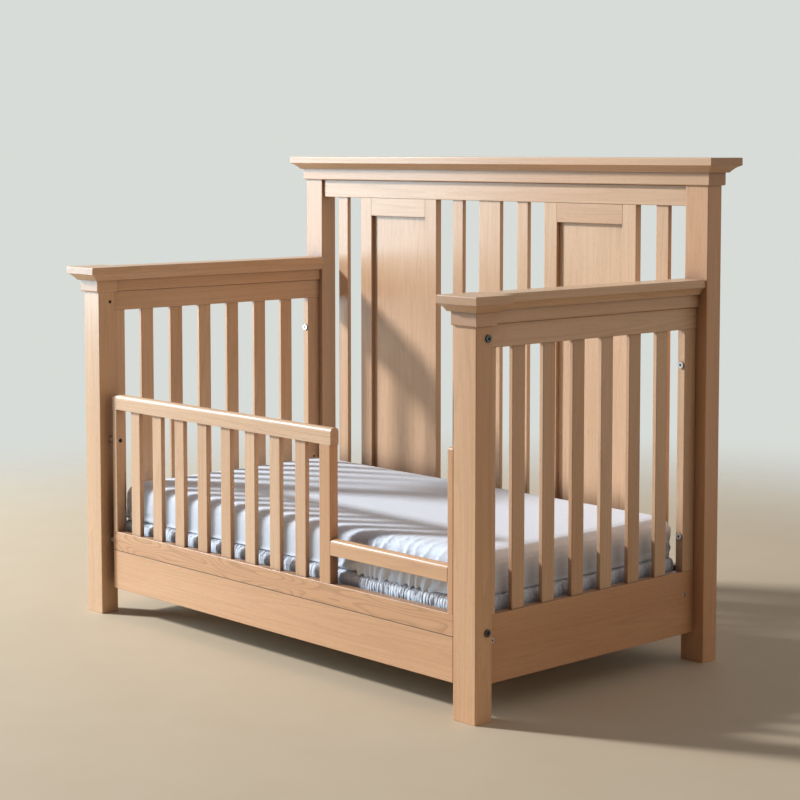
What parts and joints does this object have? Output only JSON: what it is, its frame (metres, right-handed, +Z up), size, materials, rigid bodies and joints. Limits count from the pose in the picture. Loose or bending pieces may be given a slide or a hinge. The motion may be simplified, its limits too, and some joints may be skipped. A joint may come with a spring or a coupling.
{
  "type": "convertible baby crib",
  "caption": "Wooden convertible crib in toddler-bed form: tall slatted headboard, lower end panels, front guard rail with a climb-in gap, steel mattress support and sheeted mattress.",
  "frame": {"origin": "on the floor under the middle of the overall box", "axes": "+X to the right along the crib's length as seen from the front, +Y from the guard rail back to the headboard, +Z up"},
  "size_m": [1.517, 0.8734, 1.1915],
  "materials": {
    "satin_beech": "clear satin lacquer on planed beech",
    "painted_support_steel": "powder-coated",
    "black_oxide_steel": "black oxide",
    "zinc_plated_steel": "zinc plated",
    "cotton_sheet": "plain woven cotton"
  },
  "bodies": {
    "crib": {"barrel_nuts": "zinc_plated_steel", "bracket_bolts": "black_oxide_steel", "front_apron": "satin_beech", "guard_bolts": "black_oxide_steel", "guard_left_post": "satin_beech", "guard_low_bar": "satin_beech", "guard_lower_rail": "satin_beech", "guard_mid_post": "satin_beech", "guard_right_post": "satin_beech", "guard_slats": "satin_beech", "guard_spacers": "zinc_plated_steel", "guard_top_rail": "satin_beech", "headboard_bolts": "zinc_plated_steel", "headboard_centre_slat": "satin_beech", "headboard_crown": "satin_beech", "headboard_lower_rail": "satin_beech", "headboard_neck": "satin_beech", "headboard_slats": "satin_beech", "headboard_top_rail": "satin_beech", "left_back_stile": "satin_beech", "left_end_lower_rail": "satin_beech", "left_end_slats": "satin_beech", "left_end_top_rail": "satin_beech", "left_frame_field": "satin_beech", "left_frame_inner_stile": "satin_beech", "left_frame_lower_rail": "satin_beech", "left_frame_outer_stile": "satin_beech", "left_frame_top_rail": "satin_beech", "left_front_post": "satin_beech", "left_front_stile": "satin_beech", "left_headboard_post": "satin_beech", "left_post_cap": "satin_beech", "left_post_neck": "satin_beech", "left_rail_crown": "satin_beech", "left_rail_neck": "satin_beech", "lower_post_bolts": "black_oxide_steel", "post_studs": "zinc_plated_steel", "right_back_stile": "satin_beech", "right_end_lower_rail": "satin_beech", "right_end_slats": "satin_beech", "right_end_top_rail": "satin_beech", "right_frame_field": "satin_beech", "right_frame_inner_stile": "satin_beech", "right_frame_lower_rail": "satin_beech", "right_frame_outer_stile": "satin_beech", "right_frame_top_rail": "satin_beech", "right_front_post": "satin_beech", "right_front_stile": "satin_beech", "right_headboard_post": "satin_beech", "right_post_cap": "satin_beech", "right_post_neck": "satin_beech", "right_rail_crown": "satin_beech", "right_rail_neck": "satin_beech", "stile_bolts": "zinc_plated_steel", "support_brackets": "painted_support_steel", "upper_post_bolts": "black_oxide_steel"},
    "support": {"support_long_rails": "painted_support_steel", "support_end_rails": "painted_support_steel", "support_slats": "painted_support_steel"},
    "mattress": {"mattress": "cotton_sheet"}
  },
  "joints": [
    {"name": "support_height", "type": "slide", "parent": "crib", "child": "support", "axis": [0, 0, 1], "range_m": [0, 0.0975]},
    {"name": "mattress_lift", "type": "slide", "parent": "support", "child": "mattress", "axis": [0, 0, 1], "range_m": [0, 0.38]}
  ]
}
